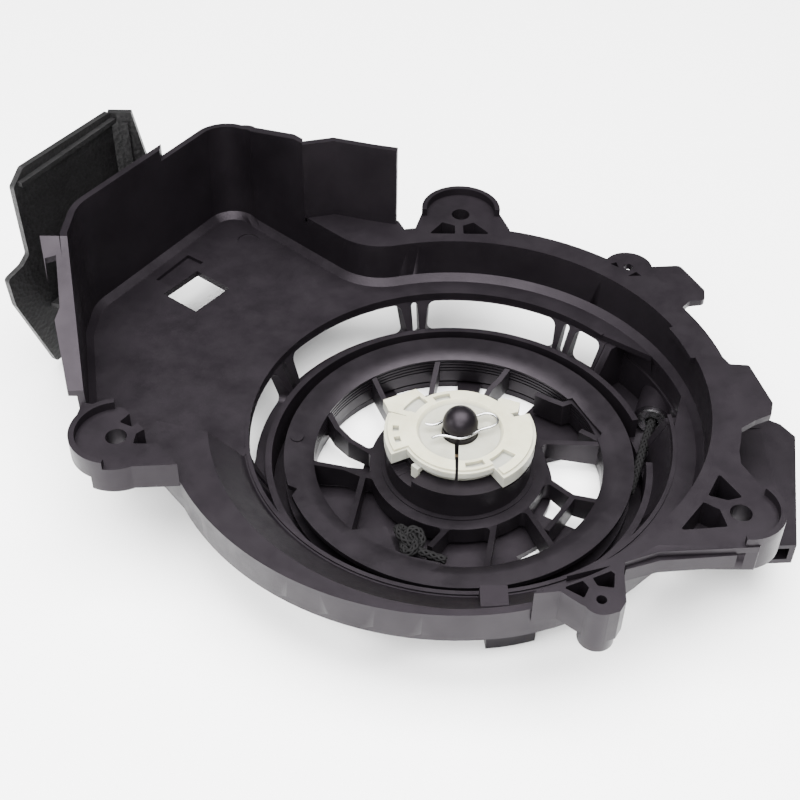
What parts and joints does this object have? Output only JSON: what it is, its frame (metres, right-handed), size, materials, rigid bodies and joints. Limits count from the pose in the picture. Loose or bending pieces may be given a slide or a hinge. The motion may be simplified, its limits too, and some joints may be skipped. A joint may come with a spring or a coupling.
{
  "type": "recoil starter",
  "caption": "Recoil starter for a small engine: black fan housing with air duct, rope reel in a vented cup, split ratchet with two lobes and hairpin clip.",
  "frame": {"origin": "axis of the centre post at the outer face of the cup bottom", "axes": "+Z out of the open engine side along the post, +X towards the handle pod, -X and +Y towards the air duct"},
  "size_m": [0.2825, 0.222, 0.092],
  "materials": {
    "housing_black": "moulded black plastic, fine grain",
    "guard_grained": "coarse leather grain, black",
    "reel_black": "satin black nylon",
    "ratchet_cream": "cream translucent nylon",
    "bright_steel": "bright steel",
    "spring_steel": "blued spring steel with grease",
    "bush_brown": "bearing plastic",
    "rope_braid": "black braided cord"
  },
  "bodies": {
    "housing": {"housing_floor": "housing_black", "scroll_wall": "housing_black", "low_wall": "housing_black", "duct_wall": "housing_black", "side_guard": "guard_grained", "top_mount": "housing_black", "right_mount": "housing_black", "left_mount": "housing_black", "bottom_mount": "housing_black", "spring_cup": "housing_black", "cup_arms": "housing_black", "rope_outlet": "housing_black", "rope_eyelet": "bright_steel", "handle_pod": "housing_black", "centre_post": "reel_black", "thrust_washer": "bright_steel", "spring_plate": "spring_steel", "recoil_spring": "spring_steel", "rope_tail": "rope_braid", "stopper_knot": "rope_braid"},
    "reel_body": {"hub_bush": "bush_brown", "reel": "reel_black", "drive_collar": "reel_black", "starter_rope": "rope_braid", "rope_knot": "rope_braid"},
    "clip_body": {"friction_clip": "bright_steel"},
    "ratchet_body": {"drive_ratchet": "ratchet_cream"}
  },
  "joints": [
    {"name": "reel_spin", "type": "hinge", "parent": "housing", "child": "reel_body", "pos_m": [0, 0, 0.01], "axis": [0, 0, 1], "range_deg": [0, 1260]},
    {"name": "ratchet_turn", "type": "hinge", "parent": "reel_body", "child": "clip_body", "pos_m": [0, 0, 0.0293], "axis": [0, 0, 1], "range_deg": [-35, 0]},
    {"name": "ratchet_lift", "type": "slide", "parent": "clip_body", "child": "ratchet_body", "axis": [0, 0, 1], "range_m": [0, 0.002]}
  ],
  "couplings": [
    {"joint": "ratchet_lift", "follows": "ratchet_turn", "m_per_rad": -0.00327}
  ]
}
